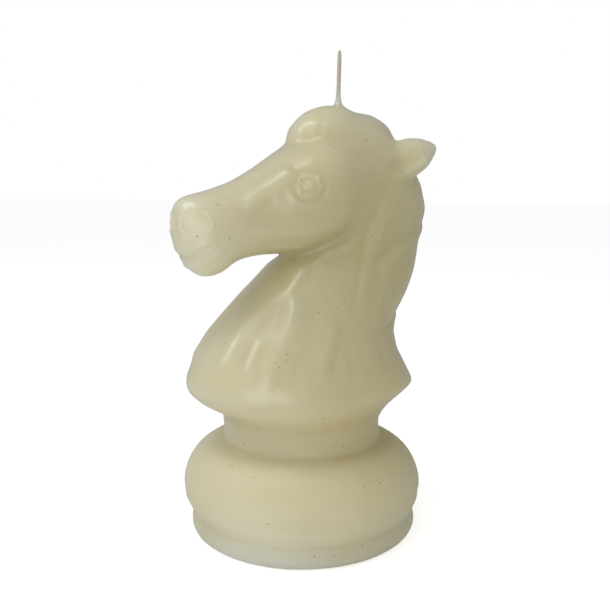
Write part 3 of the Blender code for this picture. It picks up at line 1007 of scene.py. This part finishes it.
def tinplate_material():
    material, tree, shader, position = new_material("tinplate")
    link = tree.links.new
    spangle = add_node(tree, "ShaderNodeTexVoronoi", feature="F1",
                       sockets={"Scale": 900.0})
    link(position, spangle.inputs["Vector"])
    smear = add_node(tree, "ShaderNodeTexNoise",
                     sockets={"Scale": 420.0, "Detail": 5.0, "Roughness": 0.6})
    link(position, smear.inputs["Vector"])
    colour = blend_colour(tree, smear.outputs["Fac"], TIN_BRIGHT, TIN_DULL)
    link(colour, shader.inputs["Base Color"])
    shader.inputs["Metallic"].default_value = 1.0
    rough = mapped(tree, smear.outputs["Fac"], (0.0, 1.0), TIN_ROUGHNESS)
    link(rough, shader.inputs["Roughness"])
    add_bump(tree, spangle.outputs["Distance"], 0.12, 0.0001)
    return material


# ---- pieces -----------------------------------------------------------------------------

def dress(item, material, node):
    """Give a finished piece its material and its body, and hide the CAD node that it stands for.
    """
    item.data.materials.clear()
    item.data.materials.append(material)
    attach(item, "root")
    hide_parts(node)


dress(cast_wax(), wax_material("cast_wax", BODY_LIGHT_AND_SHADE_ZONES, 26.0, 0.30, 0.0170),
      "wax_body")
dress(top_up_pour(), wax_material("top_up_wax", FILL_ZONES, 60.0, 0.46, 0.0120),
      "base_fill")
dress(braided_wick(), cotton_material(), "wick")
dress(wick_tab(), tinplate_material(), "wick_tab")


# ---- floor, light and camera ------------------------------------------------------------

FLOOR_GLOW = 0.66              # lifts the floor towards white where it is seen directly
FLOOR_DROP = 0.0001            # keeps the floor's face apart from the underside


def studio_floor():
    bpy.ops.mesh.primitive_plane_add(size=40.0, location=(0, 0, -FLOOR_DROP))
    floor = bpy.context.active_object
    floor.name = "studio_floor"
    material = bpy.data.materials.new("pale_floor")
    material.use_nodes = True
    shader = material.node_tree.nodes["Principled BSDF"]
    shader.inputs["Base Color"].default_value = (0.90, 0.90, 0.90, 1.0)
    shader.inputs["Roughness"].default_value = 0.75
    shader.inputs["Emission Color"].default_value = (1.0, 1.0, 1.0, 1.0)
    rays = material.node_tree.nodes.new("ShaderNodeLightPath")
    glow = add_node(material.node_tree, "ShaderNodeMath", operation="MULTIPLY")
    glow.inputs[1].default_value = FLOOR_GLOW
    material.node_tree.links.new(rays.outputs["Is Camera Ray"], glow.inputs[0])
    material.node_tree.links.new(glow.outputs["Value"], shader.inputs["Emission Strength"])
    floor.data.materials.append(material)


def soft_light(name, spot, target, size, power):
    data = bpy.data.lights.new(name, "AREA")
    data.shape = "RECTANGLE"
    data.size, data.size_y = size
    data.energy = power
    lamp = bpy.data.objects.new(name, data)
    bpy.context.scene.collection.objects.link(lamp)
    lamp.location = spot
    lamp.rotation_euler = (Vector(target) - Vector(spot)).to_track_quat("-Z", "Y").to_euler()


def studio_world(seen, lit):
    """White all round: seen is its brightness behind the candle, lit the light it gives."""
    world = bpy.data.worlds.new("studio_white")
    bpy.context.scene.world = world
    world.use_nodes = True
    tree = world.node_tree
    background = tree.nodes["Background"]
    background.inputs["Color"].default_value = (1.0, 1.0, 1.0, 1.0)
    rays = tree.nodes.new("ShaderNodeLightPath")
    strength = mapped(tree, rays.outputs["Is Camera Ray"], (0.0, 1.0), (lit, seen))
    tree.links.new(strength, background.inputs["Strength"])


CAMERA_TURN = math.radians(30.97)
CAMERA_DROP = math.radians(8.5)
CAMERA_ROLL = math.radians(0.62)
CAMERA_DISTANCE = 0.29062
CAMERA_HEIGHT = 0.1310
CAMERA_LENS = 43.9
CAMERA_SENSOR = 36.0
CAMERA_SHIFT = (0.0026, 0.0048)


def studio_camera():
    data = bpy.data.cameras.new("studio_camera")
    data.lens = CAMERA_LENS
    data.sensor_width = CAMERA_SENSOR
    data.shift_x, data.shift_y = CAMERA_SHIFT
    data.clip_start = 0.01
    data.clip_end = 20.0
    camera = bpy.data.objects.new("studio_camera", data)
    bpy.context.scene.collection.objects.link(camera)
    camera.location = (-math.sin(CAMERA_TURN) * CAMERA_DISTANCE,
                       -math.cos(CAMERA_TURN) * CAMERA_DISTANCE, CAMERA_HEIGHT)
    ahead = Vector((math.sin(CAMERA_TURN) * math.cos(CAMERA_DROP),
                    math.cos(CAMERA_TURN) * math.cos(CAMERA_DROP), -math.sin(CAMERA_DROP)))
    turn = ahead.to_track_quat("-Z", "Y").to_matrix()
    camera.rotation_euler = (turn @ Matrix.Rotation(CAMERA_ROLL, 3, "Z")).to_euler()
    bpy.context.scene.camera = camera


studio_floor()
studio_world(seen=1.0, lit=0.34)
soft_light("strip_overhead", spot=(-0.34, -0.07, 0.88), target=(-0.01, 0, 0.12),
           size=(0.58, 0.16), power=1.30)
soft_light("strip_beside", spot=(-0.60, 0.24, 0.68), target=(-0.01, 0, 0.10),
           size=(0.36, 0.24), power=1.05)
soft_light("room_left", spot=(-0.62, -0.76, 0.04), target=(0, 0, 0.08),
           size=(0.90, 0.70), power=3.4)
studio_camera()
bpy.context.scene.view_settings.view_transform = "Standard"
